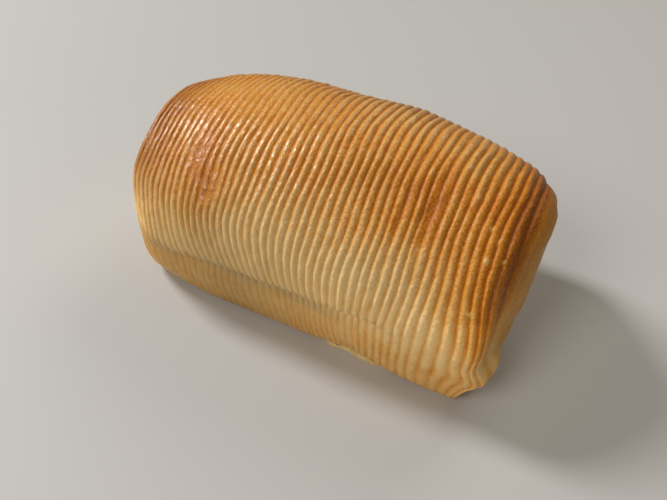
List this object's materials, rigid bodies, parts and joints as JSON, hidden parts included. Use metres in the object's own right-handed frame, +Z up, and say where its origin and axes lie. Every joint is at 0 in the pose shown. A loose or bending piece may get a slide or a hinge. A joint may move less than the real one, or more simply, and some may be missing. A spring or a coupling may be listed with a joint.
{
  "type": "croissant roll",
  "caption": "Loaf-shaped croissant roll with fine raised rings round its whole length, a long fold along each side, softly bulged ends and a flat underside.",
  "frame": {"origin": "under the middle of the bounding box, on the plane the roll rests on", "axes": "+X along the roll towards its pale blunt end, +Y across it towards its far side, +Z up"},
  "size_m": [0.1068, 0.0676, 0.055],
  "materials": {
    "crust": "satin"
  },
  "bodies": {
    "root": {"croissant_roll": "crust"}
  },
  "joints": []
}
